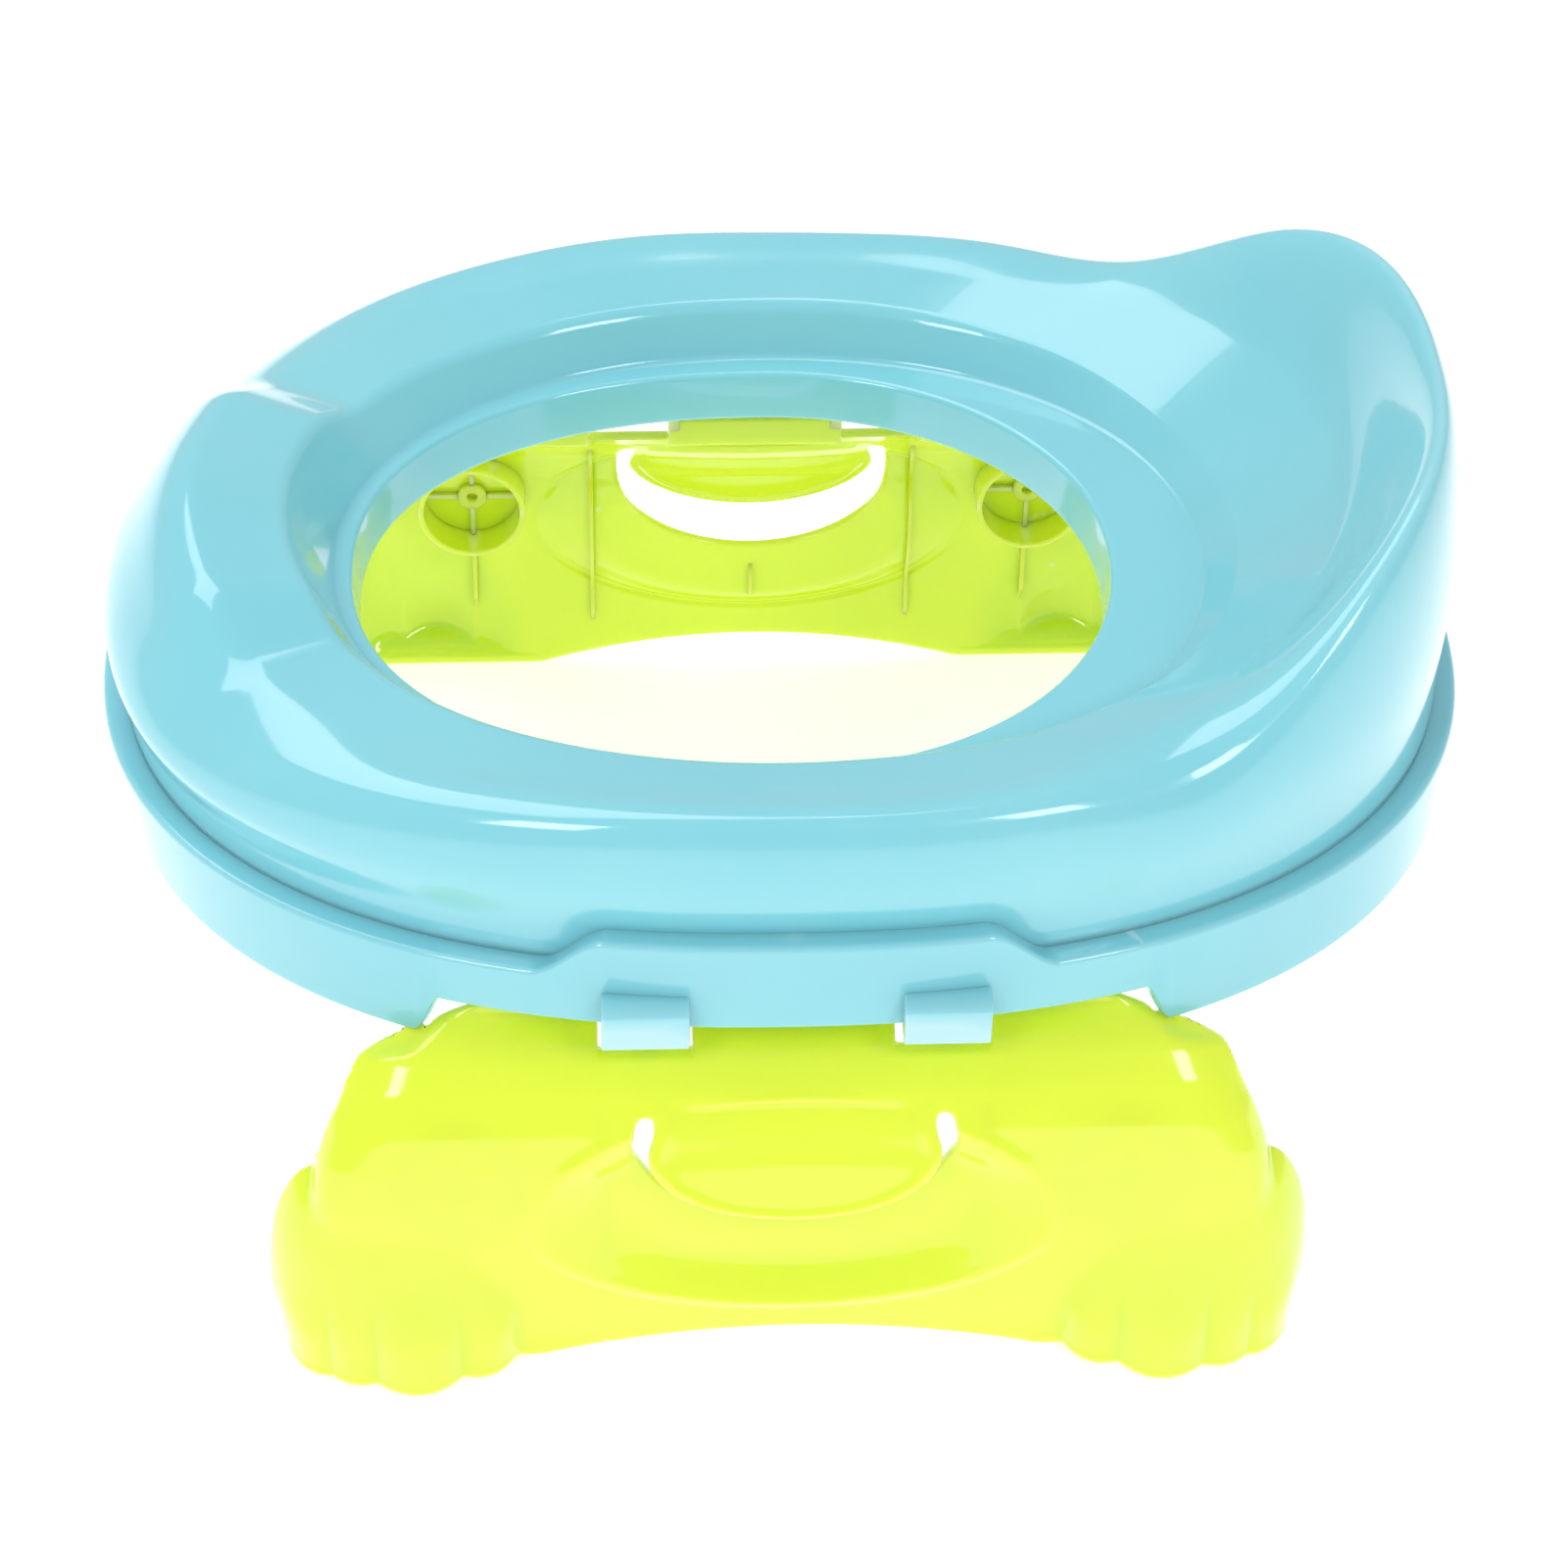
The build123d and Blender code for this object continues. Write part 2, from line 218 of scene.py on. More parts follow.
def inset(points, distance):
    """An open path moved sideways by a distance, to the right of its direction, with mitred corners."""
    points = np.array(points, float)
    runs = np.diff(points, axis=0)
    runs = runs / np.linalg.norm(runs, axis=1)[:, None]
    normals = np.stack((runs[:, 1], -runs[:, 0]), axis=1)
    before = np.vstack((normals[:1], normals))
    after = np.vstack((normals, normals[-1:]))
    total = before + after
    return points + total * (2 * distance / (total ** 2).sum(axis=1))[:, None]


# ---- meshes ----
def new_object(name, vertices, faces, material, bevel=None, body="seat"):
    """Makes a smooth-shaded mesh piece that rides on a body."""
    mesh = bpy.data.meshes.new(name)
    mesh.from_pydata([tuple(v) for v in np.asarray(vertices) * MM], [], [tuple(f) for f in faces])
    mesh.validate()
    bm = bmesh.new()
    bm.from_mesh(mesh)
    bmesh.ops.recalc_face_normals(bm, faces=bm.faces)
    if bevel:
        sharp = [edge for edge in bm.edges if edge.calc_face_angle(0) > radians(35)]
        bmesh.ops.bevel(bm, geom=sharp, offset=bevel * MM, segments=3, profile=0.5,
                        affect="EDGES", clamp_overlap=True)
    for face in bm.faces:
        face.smooth = True
    bm.to_mesh(mesh)
    bm.free()
    piece = bpy.data.objects.new(name, mesh)
    bpy.context.scene.collection.objects.link(piece)
    mesh.materials.append(material)
    weighted = piece.modifiers.new("weighted_normals", "WEIGHTED_NORMAL")
    weighted.keep_sharp = True
    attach(piece, body)
    return piece


def ring_faces(turns, around):
    """Quads of a closed ring of closed sections."""
    faces = []
    for turn in range(turns):
        here, there = turn * around, ((turn + 1) % turns) * around
        for index in range(around):
            following = (index + 1) % around
            faces.append((here + index, there + index, there + following, here + following))
    return faces


def swept_ring(name, sections, angles, material):
    """A ring whose closed section, as radius and height, is given at each angle."""
    sections = np.array(sections)
    x = sections[:, :, 0] * np.cos(angles)[:, None]
    y = sections[:, :, 0] * np.sin(angles)[:, None]
    vertices = np.stack((x, y, sections[:, :, 1]), axis=-1).reshape(-1, 3)
    return new_object(name, vertices, ring_faces(len(angles), sections.shape[1]), material)


def extruded(outline, low, high):
    """Vertices and faces of an outline in Y and Z, extruded along X."""
    count = len(outline)
    vertices = [(low, y, z) for y, z in outline] + [(high, y, z) for y, z in outline]
    faces = [tuple(range(count)), tuple(range(2 * count - 1, count - 1, -1))]
    for index in range(count):
        following = (index + 1) % count
        faces.append((index, count + index, count + following, following))
    return vertices, faces


def joined(parts):
    """Several vertex and face lists as one."""
    vertices, faces = [], []
    for part_vertices, part_faces in parts:
        start = len(vertices)
        vertices.extend(part_vertices)
        faces.extend(tuple(start + index for index in face) for face in part_faces)
    return vertices, faces


def mirrored(vertices, side):
    return [(x, side * y, z) for x, y, z in vertices]


# ---- solid shapes as distance fields, for the legs ----
def smooth_max(a, b, radius):
    blend = np.maximum(radius - np.abs(a - b), 0)
    return np.maximum(a, b) + blend * blend / (4 * radius)


def smooth_min(a, b, radius):
    return -smooth_max(-a, -b, radius)


def ellipse_distance(x, z, half_x, half_z):
    """About the distance outside an ellipse round the origin."""
    scaled = np.sqrt((x / half_x) ** 2 + (z / half_z) ** 2) + 1e-9
    steep = np.sqrt((x / half_x ** 2) ** 2 + (z / half_z ** 2) ** 2) + 1e-9
    return scaled * (scaled - 1) / steep


def field_mesh(field, low, high, step):
    """Quads of the zero surface of a field, one vertex in each cell that it crosses."""
    axes = [np.arange(low[k], high[k] + step, step) for k in range(3)]
    values = field(axes[0][:, None, None], axes[1][None, :, None], axes[2][None, None, :])
    values = np.broadcast_to(values, tuple(len(axis) for axis in axes)).astype(np.float32)
    inside = values < 0
    cells = tuple(len(axis) - 1 for axis in axes)
    total = np.zeros(cells + (3,), np.float32)
    hits = np.zeros(cells, np.float32)
    crossings = []
    for axis in range(3):
        a = np.take(values, range(values.shape[axis] - 1), axis=axis)
        b = np.take(values, range(1, values.shape[axis]), axis=axis)
        crossing = (a < 0) != (b < 0)
        place = np.where(crossing, a / np.where(crossing, a - b, 1), 0)
        other = [k for k in range(3) if k != axis]
        for shift_a in (0, 1):
            for shift_b in (0, 1):
                window = [slice(None)] * 3
                window[other[0]] = slice(shift_a, cells[other[0]] + shift_a)
                window[other[1]] = slice(shift_b, cells[other[1]] + shift_b)
                mask = crossing[tuple(window)]
                hits += mask
                total[..., axis] += np.where(mask, place[tuple(window)], 0)
                total[..., other[0]] += mask * shift_a
                total[..., other[1]] += mask * shift_b
        crossings.append((axis, other, np.argwhere(crossing)))
    used = np.argwhere(hits > 0)
    number = np.full(cells, -1, int)
    number[tuple(used.T)] = np.arange(len(used))
    offset = total[tuple(used.T)] / hits[tuple(used.T)][:, None]
    vertices = np.array(low, float) + (used + offset) * step
    faces = []
    for axis, other, edges in crossings:
        ok = (edges[:, other[0]] > 0) & (edges[:, other[1]] > 0)
        ok &= (edges[:, other[0]] < cells[other[0]]) & (edges[:, other[1]] < cells[other[1]])
        edges = edges[ok]
        corners = []
        for shift_a, shift_b in ((0, 0), (1, 0), (1, 1), (0, 1)):
            cell = edges.copy()
            cell[:, other[0]] -= shift_a
            cell[:, other[1]] -= shift_b
            corners.append(number[tuple(cell.T)])
        quads = np.stack(corners, axis=1)
        outward = inside[tuple(edges.T)] == (axis != 1)
        quads[~outward] = quads[~outward][:, ::-1]
        faces.append(quads)
    return vertices, np.vstack(faces)


def field_gradient(field, points):
    reach = 0.05
    gradient = np.zeros_like(points)
    for axis in range(3):
        ahead, behind = points.copy(), points.copy()
        ahead[:, axis] += reach
        behind[:, axis] -= reach
        gradient[:, axis] = (field(*ahead.T) - field(*behind.T)) / (2 * reach)
    return gradient


def settled(field, points, step):
    """Points moved onto the zero surface of a field."""
    for _ in range(3):
        gradient = field_gradient(field, points)
        size = np.maximum((gradient ** 2).sum(axis=1), 0.25)
        move = -(field(*points.T) / size)[:, None] * gradient
        length = np.linalg.norm(move, axis=1)[:, None]
        points = points + move * np.minimum(1, 0.5 * step / np.maximum(length, 1e-9))
    return points


# ---- materials ----
def moulded_plastic(name, colour, deep, glow):
    """Glossy injection-moulded plastic: slightly milky, faintly wavy, with a painted highlight along its edges."""
    material = bpy.data.materials.new(name)
    material.use_nodes = True
    nodes, links = material.node_tree.nodes, material.node_tree.links
    shader = nodes["Principled BSDF"]
    place = nodes.new("ShaderNodeTexCoord")

    def noise(scale, detail):
        node = nodes.new("ShaderNodeTexNoise")
        node.inputs["Scale"].default_value = scale
        node.inputs["Detail"].default_value = detail
        links.new(place.outputs["Object"], node.inputs["Vector"])
        return node.outputs["Fac"]

    def ramp(source, first, last, low, high):
        node = nodes.new("ShaderNodeMapRange")
        for socket, value in zip(("From Min", "From Max", "To Min", "To Max"), (first, last, low, high)):
            node.inputs[socket].default_value = value
        links.new(source, node.inputs["Value"])
        return node.outputs["Result"]

    # the melt's slight streaks of colour
    tone = nodes.new("ShaderNodeMixRGB")
    tone.inputs["Color1"].default_value = (*colour, 1)
    tone.inputs["Color2"].default_value = (*deep, 1)
    links.new(ramp(noise(14, 3), 0.35, 0.7, 0.0, 0.55), tone.inputs["Fac"])
    # painted highlight: convex edges, picked out by pointiness, are painted paler
    geometry = nodes.new("ShaderNodeNewGeometry")
    edge = nodes.new("ShaderNodeMixRGB")
    edge.inputs["Color2"].default_value = tuple(0.55 * c + 0.45 for c in colour) + (1,)
    links.new(ramp(geometry.outputs["Pointiness"], 0.52, 0.62, 0.0, 0.6), edge.inputs["Fac"])
    links.new(tone.outputs["Color"], edge.inputs["Color1"])
    links.new(edge.outputs["Color"], shader.inputs["Base Color"])
    # handling marks change the gloss a little, and the skin of the moulding is faintly wavy
    links.new(ramp(noise(90, 6), 0.3, 0.8, 0.10, 0.18), shader.inputs["Roughness"])
    wave = nodes.new("ShaderNodeBump")
    wave.inputs["Strength"].default_value = 0.12
    wave.inputs["Distance"].default_value = 0.004
    links.new(noise(22, 1), wave.inputs["Height"])
    grain = nodes.new("ShaderNodeBump")
    grain.inputs["Strength"].default_value = 0.05
    grain.inputs["Distance"].default_value = 0.0003
    links.new(noise(900, 3), grain.inputs["Height"])
    links.new(wave.outputs["Normal"], grain.inputs["Normal"])
    links.new(grain.outputs["Normal"], shader.inputs["Normal"])
    shader.inputs["IOR"].default_value = 1.49
    shader.inputs["Subsurface Weight"].default_value = glow
    shader.inputs["Subsurface Scale"].default_value = 0.006
    shader.inputs["Subsurface Radius"].default_value = tuple(0.3 + 0.7 * c for c in colour)
    shader.inputs["Coat Weight"].default_value = 0.6
    shader.inputs["Coat Roughness"].default_value = 0.03
    return material


# ---- seat shell ----
def seat_section(angle):
    """Closed section of the seat shell at an angle, from the hole's lip out to the foot and back."""
    hole = hole_radius(angle)
    foot = float(oval_radius(grown(SKIRT, -FOOT_INSET), OVAL, angle))
    hill = ease((HILL_HALF - abs(angle - pi)) / HILL_SLOPE)
    rings = [(float(oval_radius(reach, roundness, angle)), float(round_spline(heights, angle)) + rise * hill)
             for (reach, roundness, heights), rise in zip(RINGS, HILL)]
    corners = [(hole, HOLE_BOTTOM), (hole + 1.5, RECESS_FLOOR)] + rings[:3]
    leave = np.array(rings[2]) - np.array(rings[1])
    leave = leave / np.linalg.norm(leave)
    top = spline_path(rings[2:] + [(foot, LEDGE_TOP + 7)], leave, (0, -1), 40)
    outer = np.vstack((filleted(corners, (0, 1.6, 2.2, 5.0, 0), 6)[:-1], top,
                       [(foot, LEDGE_TOP + 3), (foot, LEDGE_TOP + 0.05)]))
    inner = np.vstack((filleted(inset(corners, WALL), (0, 0.4, 4.0, 2.6, 0), 6)[:-1], inset(top, WALL),
                       [(foot - WALL, LEDGE_TOP + 3), (foot - WALL, LEDGE_TOP + 0.05)]))
    inner[0, 1] = HOLE_BOTTOM
    middle = (outer[0] + inner[0]) / 2
    lip = [middle + (outer[0] - middle) * cos(turn) + np.array((0, -WALL / 2)) * sin(turn)
           for turn in (pi / 4, pi / 2, 3 * pi / 4)]
    lip = np.array(lip) + (0, WALL / 2)
    outer[0, 1] += WALL / 2
    inner[0, 1] += WALL / 2
    return np.vstack((outer, inner[::-1], lip[::-1]))


def make_seat_shell(material):
    angles = np.linspace(0, 2 * pi, 288, endpoint=False)
    shell = swept_ring("seat_shell_skin", [seat_section(angle) for angle in angles], angles, material)
    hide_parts("seat_shell")


# ---- skirt frame ----
def skirt_radius(offset, height, angle, flare):
    """Polar radius of the skirt's face, which draws in downwards at its ends and flares at its sides."""
    share = max(LEDGE_TOP - height, 0) / (LEDGE_TOP - SKIRT_BOTTOM)
    front, rear, side = grown(SKIRT, offset)
    reach = (front - DRAW_FRONT * share, rear - DRAW_REAR * share, side + flare * share)
    return float(oval_radius(reach, OVAL, angle))


def skirt_section(angle):
    """Closed section of the skirt and its ledge at an angle, rising over the legs into the hump."""
    at_face = float(oval_radius(SKIRT, OVAL, angle))
    x = abs(at_face * cos(angle))
    near_side = abs(sin(angle)) > 0.5
    notch = ease((NOTCH_HALF + 2.2 - x) / 5.0) if near_side else 0.0
    bottom = SKIRT_BOTTOM + (NOTCH_BOTTOM - SKIRT_BOTTOM) * notch
    hump = ease((HUMP_BASE_HALF - x) / (HUMP_BASE_HALF - HUMP_TOP_HALF)) if near_side else 0.0
    top = LEDGE_TOP + 0.6 + (HUMP_TOP - LEDGE_TOP - 0.6) * hump
    upstand = LEDGE_TOP + 0.4 + UPSTAND_RISE * ease((x - UPSTAND_START) / 4)
    corners = ((0, bottom), (0, top), (-RIM_DEPTH, top), (-RIM_DEPTH, LEDGE_TOP),
               (-UPSTAND_OUTER, LEDGE_TOP), (-UPSTAND_OUTER, upstand),
               (-UPSTAND_INNER, upstand), (-UPSTAND_INNER, LEDGE_TOP - WALL),
               (-WALL, LEDGE_TOP - WALL), (-WALL, bottom))
    radii = (0.8, 1.5, 0.15, 0.15, 0.15, 0.3, 0.3, 0.4, 1.2, 0.5)
    section = filleted(corners, radii, 4, closed=True)
    flare = SIDE_FLARE * (1 - notch)
    reach = [skirt_radius(offset, height, angle, flare) for offset, height in section]
    return np.stack((reach, section[:, 1]), axis=1)


def skirt_angles():
    """Even turns, with more of them where the skirt's edges step."""
    angles = list(np.linspace(0, 2 * pi, 240, endpoint=False))
    for x_low, x_high in ((76, 86), (42, 59)):
        for x in np.arange(x_low, x_high, 0.6):
            share = 1 - (x / SKIRT[0]) ** OVAL, 1 - (x / SKIRT[1]) ** OVAL
            front = np.arctan2(SKIRT[2] * share[0] ** (1 / OVAL), x)
            rear = np.arctan2(SKIRT[2] * share[1] ** (1 / OVAL), -x)
            angles += [front, rear, 2 * pi - front, 2 * pi - rear]
    angles = np.unique(np.round(angles, 5))
    return angles[np.concatenate(([True], np.diff(angles) > 0.0012))]


def clip_outline():
    """Side view of a hinge clip, whose socket is open at the bottom, with the stepped tab outside it."""
    throat = 1.7
    jaw_bottom = HINGE_Z - 3.0
    nose = SKIRT[2] + 4.2
    face = SKIRT[2] + 0.6
    root = SKIRT[2] - 4.0
    slope = np.arcsin(throat / SOCKET_RADIUS)
    socket = [(HINGE_Y - SOCKET_RADIUS * sin(turn), HINGE_Z - SOCKET_RADIUS * cos(turn))
              for turn in np.linspace(slope, 2 * pi - slope, 25)]
    return [(HINGE_Y - 4.7, LEDGE_TOP - WALL), (HINGE_Y - 4.7, jaw_bottom), (HINGE_Y - throat, jaw_bottom),
            *socket, (HINGE_Y + throat, jaw_bottom), (root, jaw_bottom), (root, 95.2), (nose, 95.2),
            (nose, 104.8), (nose - 0.8, 105.6), (face, 106.4), (root, 106.4),
            (root, LEDGE_TOP - WALL)]


def make_skirt_frame(material):
    angles = skirt_angles()
    ring = swept_ring("skirt_ring", [skirt_section(angle) for angle in angles], angles, material)
    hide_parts("skirt_frame")
    outline = clip_outline()
    for side, side_name in ((-1, "right"), (1, "left")):
        for x, end_name in ((-CLIP_X, "rear"), (CLIP_X, "front")):
            vertices, faces = extruded(outline, x - CLIP_HALF, x + CLIP_HALF)
            new_object(f"clip_{side_name}_{end_name}", mirrored(vertices, side), faces, material, bevel=0.8)


# ---- legs ----
FACE_REACH = blurred(((97.5, 109.5), (90.6, 109.5), (88.8, 112.6), (86, 118.6), (80, 124.8), (72, 129.7),
                      (63, 132.4), (52, 133.6), (38, 133.6), (22, 132.4), (8, 130.6), (0, 130)), 1.1)
COLUMN_HALF = blurred(((100, 95), (96, 96), (90, 98.5), (80, 101.5), (72, 104.5), (62, 107.5), (50, 109.5),
                       (30, 111), (0, 110)), 2.5)
TOP_EDGE = blurred(((0, LEG_TOP), (60, LEG_TOP), (75, 91.5), (83, 87.4), (90, 86.2), (97, 85), (120, 84)), 0.8)
# how far the shoulders keep from the hinge's axis, so that they swing clear of the skirt
SHOULDER_SWING = blurred(((0, 0), (77, 0), (80, 6), (82, 10.6), (83.5, 13.2), (86, 14.3), (90, 15.2), (94, 16.3),
                          (97, 17.4), (99, 18.1), (105, 20.3), (121, 25)), 0.6)
# each toe's middle, half width and how far it stands out
TOES = ((57.5, 5.0, 1.0), (68.6, 8.4, 2.8), (86.2, 10.6, 4.4), (101.4, 6.4, 1.7), (112.0, 6.4, 1.6))


def tongue_waist(x, z):
    """Distance from the middle, read a little larger near the tongue's root so that the tongue narrows."""
    return x + TONGUE_WAIST * ease((z - 64) / 9)


def leg_face(x, z):
    """Reach of a leg's outer face: the panel, its oval recess and the grip tongue within it."""
    reach = FACE_REACH(z)
    oval = np.sqrt((x / RECESS_HALF[0]) ** 2 + ((z - RECESS_Z) / RECESS_HALF[1]) ** 2)
    sunk = RECESS_DEPTH * ease((1 - oval) / 0.32) * ease((84 - z) / 15)
    rim = 0.7 * np.exp(-((oval - 1.0) / 0.045) ** 2)
    recess = reach - sunk + rim
    below = np.minimum(z - SLOT_Z, 0)
    tongue = np.sqrt((tongue_waist(np.abs(x), z) / TONGUE_HALF[0]) ** 2 + (below / TONGUE_HALF[1]) ** 2)
    proud = 2.4 * ease((80 - z) / 26)
    bead = 0.7 * np.exp(-((tongue - 0.93) / 0.05) ** 2)
    dish = 2.2 * (1 - tongue ** 2).clip(0)
    grip = reach + (proud + bead - dish) * ease((84 - z) / 8)
    share = ease((1.07 - tongue) / 0.06) * ease((79 - z) / 4)
    return recess * (1 - share) + grip * share


def paw_field(x, y, z):
    """About the distance outside a paw: a low dome, taller on its outer side, with bulging toes."""
    tall = z - 4 - 10 * ease((x - 94) / 20)
    narrow = 1 - 0.07 * ease((20 - z) / 20)
    across = (np.abs((x - PAW_X) / (PAW_HALF[0] * narrow)) ** 2.4
              + np.abs((y - PAW_Y) / PAW_HALF[1]) ** 2.4)
    dome = (across ** (2.8 / 2.4) + (np.maximum(tall, 0) / 50) ** 2.8) ** (1 / 2.8)
    distance = (dome - 1) * 24
    toes = 0
    for middle, half_width, out in TOES:
        toes = np.maximum(toes, out * (1 - ((x - middle) / half_width) ** 2))
    distance = distance - toes * ease((32 - z) / 20) * ease((y - 120) / 8)
    return smooth_max(distance, -z, 3.0)


def leg_outer(x, y, z, paw_inset=0.0, blend=1.2):
    """About the distance outside the leg's outer skin, as if the leg were solid."""
    reach = leg_face(x, z)
    step = 0.2
    lean = (leg_face(x + step, z) - leg_face(x - step, z)) / (2 * step)
    fall = (leg_face(x, z + step) - leg_face(x, z - step)) / (2 * step)
    front = (y - reach) / np.sqrt(1 + lean ** 2 + fall ** 2)
    column = smooth_max(front, x - COLUMN_HALF(z), 9 + 8 * ease((z - 55) / 25))
    skin = smooth_min(column, paw_field(x, y, z) + paw_inset, blend)
    from_hinge = np.sqrt((y - HINGE_Y) ** 2 + (z - HINGE_Z) ** 2)
    return smooth_max(skin, SHOULDER_SWING(x) - from_hinge, 1.2)


def leg_field(x, y, z):
    """About the distance outside the moulded wall of the left leg."""
    x = np.abs(x)
    outer = leg_outer(x, y, z)
    wall = np.maximum(outer, -leg_outer(x, y, z, 5.0, 8.0) - WALL)
    back = np.where(z > 60, np.maximum(FACE_REACH(z) - 9.5, 107.2), 121.0)
    wall = smooth_max(wall, back - y, 0.9)
    wall = smooth_max(wall, (z - TOP_EDGE(x)) * 0.9, 0.9)
    slot = np.maximum(ellipse_distance(x, z - SLOT_Z, *SLOT_HALF),
                      -ellipse_distance(tongue_waist(x, z), np.minimum(z - SLOT_Z, 0), *TONGUE_HALF))
    slot = smooth_max(slot, z - SLOT_TOP, 2)
    wall = smooth_max(wall, -slot, 1.0)
    window = np.maximum(np.abs(x - CLIP_X) - WINDOW_HALF, WINDOW_BOTTOM - z)
    wall = smooth_max(wall, -window, 0.7)
    sole = np.maximum(np.maximum(outer, z - SOLE_THICKNESS), np.maximum(SOLE_INNER - y, 59 - x))
    solid = smooth_min(wall, sole, 0.8)
    arch_bottom = ARCH_HEIGHT * (1 - (x / ARCH_HALF) ** 2)
    return smooth_max(solid, np.maximum(arch_bottom - z, -z), 0.9)


def leg_bars():
    """The two hinge bars of a leg and the lugs that carry them."""
    parts = []
    bar = [(HINGE_Y + BAR_RADIUS * cos(t), HINGE_Z + BAR_RADIUS * sin(t))
           for t in np.linspace(0, 2 * pi, 32, endpoint=False)]
    crown = [(HINGE_Y + 2.9 * cos(t), HINGE_Z + 2.9 * sin(t)) for t in np.linspace(-pi / 2, pi / 2 + 0.2, 14)]
    lug = crown + [(109.3, 101.6), (107.1, 100.4), (107.1, 93.5), (109.3, 93.5), (109.3, 97.5)]
    for x in (-CLIP_X, CLIP_X):
        parts.append(extruded(bar, x - WINDOW_HALF - 1, x + WINDOW_HALF + 1))
        for edge in (-1, 1):
            middle = x + edge * (WINDOW_HALF + 1.5)
            parts.append(extruded(lug, middle - 1.5, middle + 1.5))
    return joined(parts)


def ring_boss(centre_x):
    """A ring boss with a bored centre post on four cross ribs."""
    inner, outer = BOSS_RADIUS - BOSS_WALL, BOSS_RADIUS
    post_face = BOSS_FACE + POST_SETBACK
    rim = filleted(((outer, BOSS_FACE), (outer, BOSS_ROOT), (inner, BOSS_ROOT), (inner, BOSS_FACE)),
                   (0.5, 0.1, 0.1, 0.5), 4, closed=True)
    post = filleted(((POST_RADIUS, post_face), (POST_RADIUS, BOSS_ROOT), (BORE_RADIUS, BOSS_ROOT),
                     (BORE_RADIUS, post_face)), (0.4, 0.1, 0.1, 0.4), 4, closed=True)

    def on_wall(x, y, z):
        """A point kept within the leg's wall, which leans in above the boss."""
        return x, min(y, float(leg_face(abs(x), z)) - 1.3), z

    parts = []
    turns = np.linspace(0, 2 * pi, 64, endpoint=False)
    for profile in (rim, post):
        vertices = [on_wall(centre_x + r * cos(t), y, BOSS_Z + r * sin(t)) for t in turns for r, y in profile]
        parts.append((vertices, ring_faces(len(turns), len(profile))))
    for along, up in ((1, 0), (-1, 0), (0, 1), (0, -1)):
        corners = []
        for reach in (3.6, inner + 0.4):
            for y in (BOSS_FACE + CROSS_RIB_SETBACK, BOSS_ROOT):
                for half in (-0.6, 0.6):
                    corners.append(on_wall(centre_x + along * reach + up * half, y,
                                           BOSS_Z + up * reach + along * half))
        faces = [(0, 1, 3, 2), (4, 6, 7, 5), (0, 4, 5, 1), (2, 3, 7, 6), (0, 2, 6, 4), (1, 5, 7, 3)]
        parts.append((corners, faces))
    return joined(parts)


def leg_rib(x, low, high):
    """A thin rib up the leg's inner face, fading at both ends."""
    heights = np.linspace(low, high, 28)
    wall = leg_face(abs(x), heights) - WALL * 0.5
    tall = 3.2 * ease(np.minimum(heights - low, high - heights) / 6) + 0.3
    outline = list(zip(wall, heights)) + list(zip((wall - tall)[::-1], heights[::-1]))
    return extruded(outline, x - 0.55, x + 0.55)


def make_legs(material):
    step = 0.7
    points, faces = field_mesh(leg_field, LEG_LOW, LEG_HIGH, step)
    points = settled(leg_field, points, step)
    bars = leg_bars()
    bosses = joined([ring_boss(-BOSS_X), ring_boss(BOSS_X)])
    ribs = joined([leg_rib(x, bottom, top) for x, bottom, top in
                   ((-RIB_X, 12, 78), (RIB_X, 12, 78), (-BOSS_X, 18, 43), (BOSS_X, 18, 43), (0, 22, 38))])
    for side, name in ((1, "left"), (-1, "right")):
        body = f"{name}_leg"
        panel = new_object(f"{name}_leg_panel", mirrored(points, side), faces, material, None, body)
        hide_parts(body)
        for part, (vertices, part_faces), bevel in (("hinge_bars", bars, 0.3), ("bosses", bosses, 0.2),
                                                    ("ribs", ribs, 0.3)):
            new_object(f"{name}_leg_{part}", mirrored(vertices, side), part_faces, material, bevel, body)


# ---- stage ----
def make_stage():
    bpy.ops.mesh.primitive_plane_add(size=14, location=(0, 0, -0.0005))
    floor = bpy.context.object
    floor.name = "floor"
    paint = bpy.data.materials.new("pale_floor")
    paint.use_nodes = True
    nodes, links = paint.node_tree.nodes, paint.node_tree.links
    shader = nodes["Principled BSDF"]
    speckle = nodes.new("ShaderNodeTexNoise")
    speckle.inputs["Scale"].default_value = 40
    tone = nodes.new("ShaderNodeMixRGB")
    tone.inputs["Color1"].default_value = (0.93, 0.93, 0.93, 1)
    tone.inputs["Color2"].default_value = (0.95, 0.95, 0.95, 1)
    links.new(speckle.outputs["Fac"], tone.inputs["Fac"])
    links.new(tone.outputs["Color"], shader.inputs["Base Color"])
    shader.inputs["Roughness"].default_value = 0.7
    shader.inputs["Specular IOR Level"].default_value = 0.2
    shader.inputs["Emission Color"].default_value = (1, 1, 1, 1)
    shader.inputs["Emission Strength"].default_value = 0.5
    floor.data.materials.append(paint)


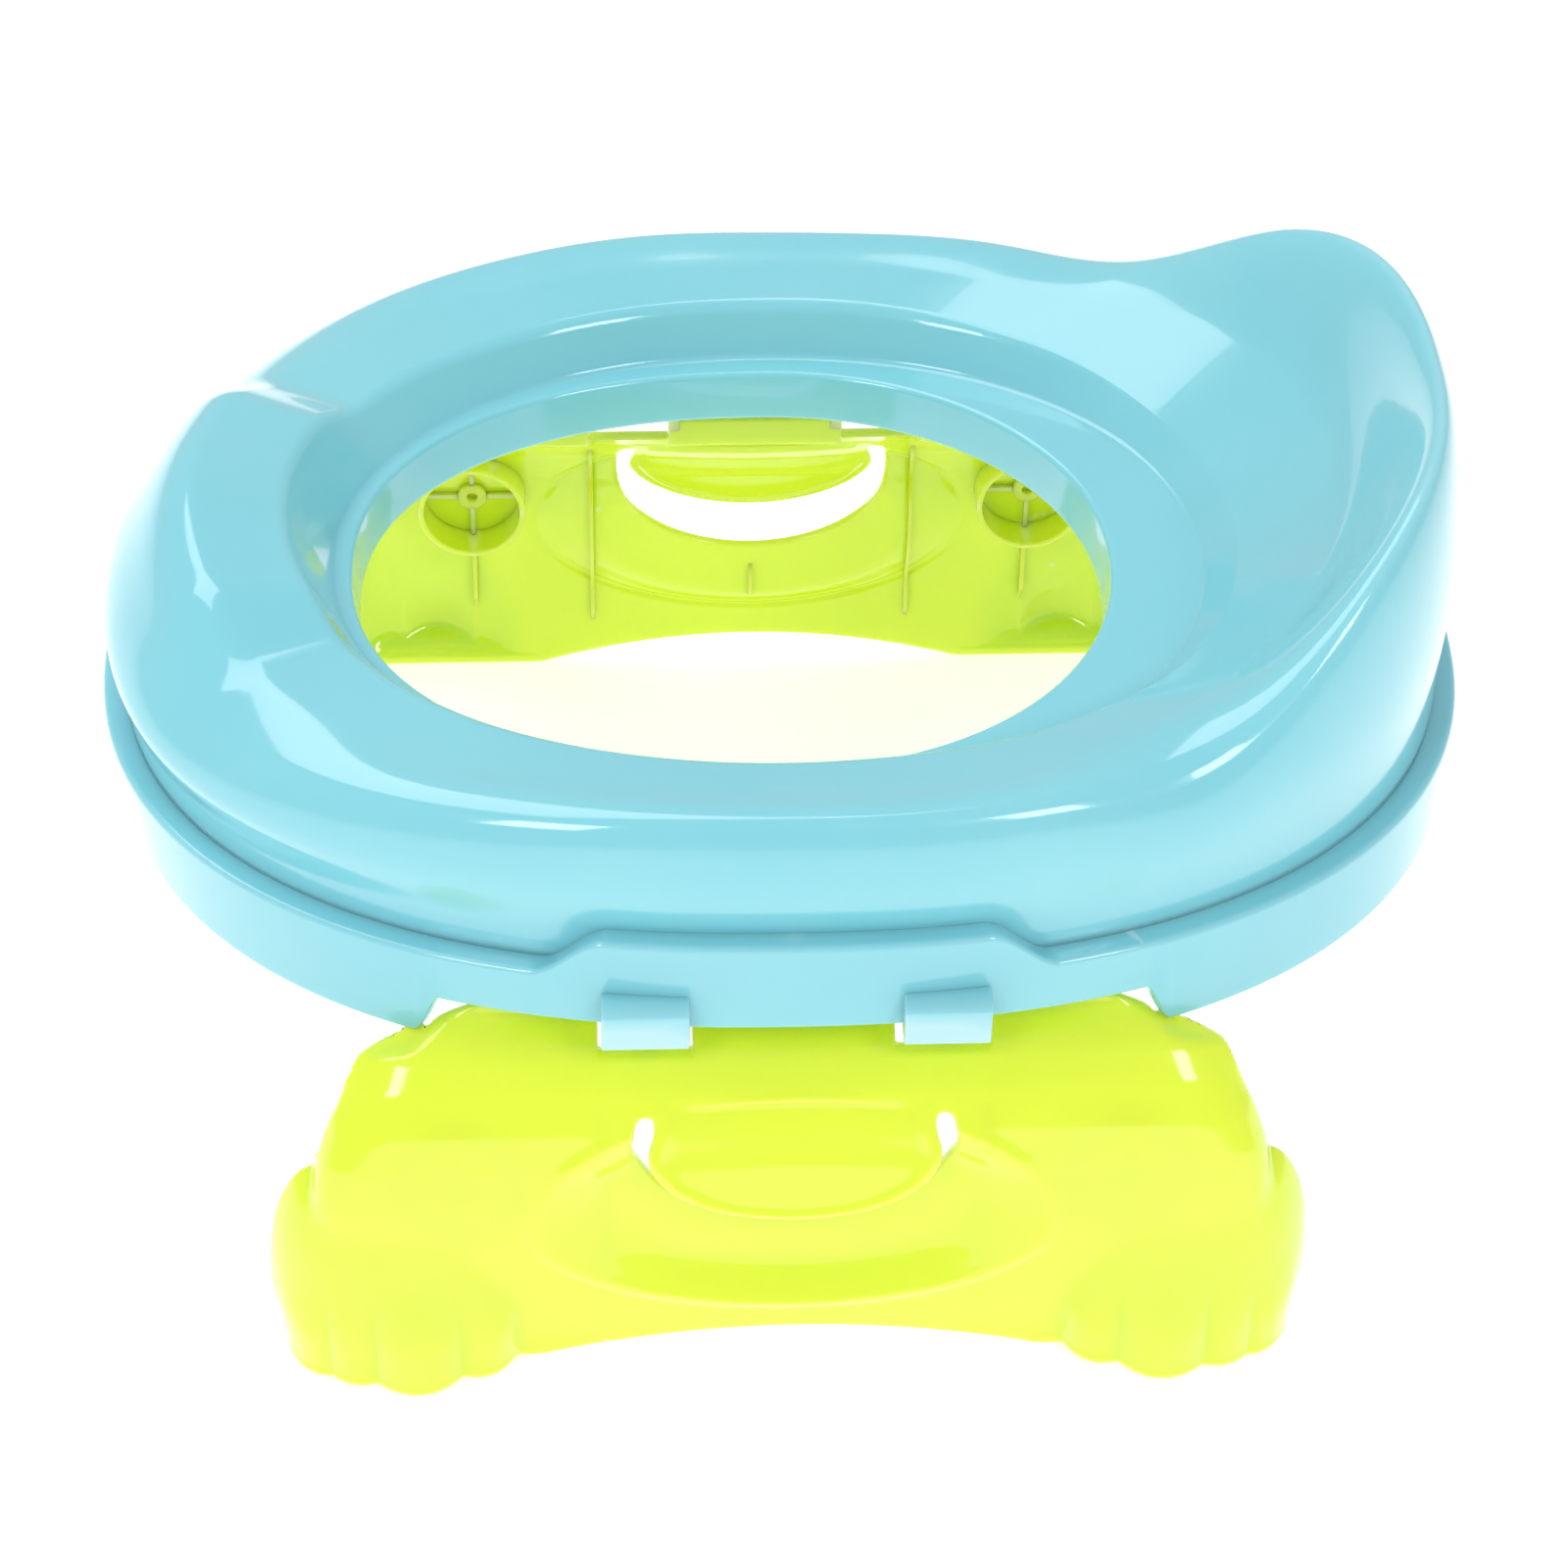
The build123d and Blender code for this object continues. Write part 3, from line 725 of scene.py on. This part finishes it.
def softbox(name, place, aim, width, height, power):
    light = bpy.data.lights.new(name, "AREA")
    light.shape = "RECTANGLE"
    light.size, light.size_y, light.energy = width, height, power
    lamp = bpy.data.objects.new(name, light)
    bpy.context.scene.collection.objects.link(lamp)
    lamp.location = place
    lamp.rotation_euler = (Vector(aim) - Vector(place)).to_track_quat("-Z", "Y").to_euler()


def make_lights():
    world = bpy.data.worlds.new("studio")
    bpy.context.scene.world = world
    world.use_nodes = True
    world.node_tree.nodes["Background"].inputs["Color"].default_value = (1, 1, 1, 1)
    world.node_tree.nodes["Background"].inputs["Strength"].default_value = 0.6
    softbox("left_softbox", (-0.62, -0.96, 1.1), (0, 0, 0.1), 0.34, 0.44, 3.7)
    softbox("right_softbox", (0.62, -0.96, 1.1), (0, 0, 0.1), 0.34, 0.44, 3.7)
    softbox("top_softbox", (-0.5, 0.45, 1.5), (0, 0, 0.1), 1.2, 1.0, 10)


def make_camera():
    azimuth, elevation, roll = radians(-3.34), radians(40.63), radians(1.21)
    distance, focal, sensor = 1.0185, 95.83, 36.0
    back = Vector((sin(azimuth) * cos(elevation), -cos(azimuth) * cos(elevation), sin(elevation)))
    level = Vector((cos(azimuth), sin(azimuth), 0))
    upright = back.cross(level)
    right = cos(roll) * level + sin(roll) * upright
    up = -sin(roll) * level + cos(roll) * upright
    data = bpy.data.cameras.new("camera")
    data.sensor_width, data.lens = sensor, focal
    data.clip_end = 50
    camera = bpy.data.objects.new("camera", data)
    bpy.context.scene.collection.objects.link(camera)
    place = Vector((0, 0, 0.09)) + back * distance + right * 0.00287 - up * 0.02049
    camera.matrix_world = Matrix.Translation(place) @ Matrix((right, up, back)).transposed().to_4x4()
    bpy.context.scene.camera = camera


BLUE = moulded_plastic("sky_blue_plastic", (0.235, 0.62, 0.70), (0.20, 0.58, 0.68), 0.3)
LIME = moulded_plastic("lime_plastic", (0.74, 0.87, 0.04), (0.70, 0.84, 0.03), 0.75)
make_seat_shell(BLUE)
make_skirt_frame(BLUE)
make_legs(LIME)
make_stage()
make_lights()
make_camera()
bpy.context.scene.view_settings.view_transform = "Standard"
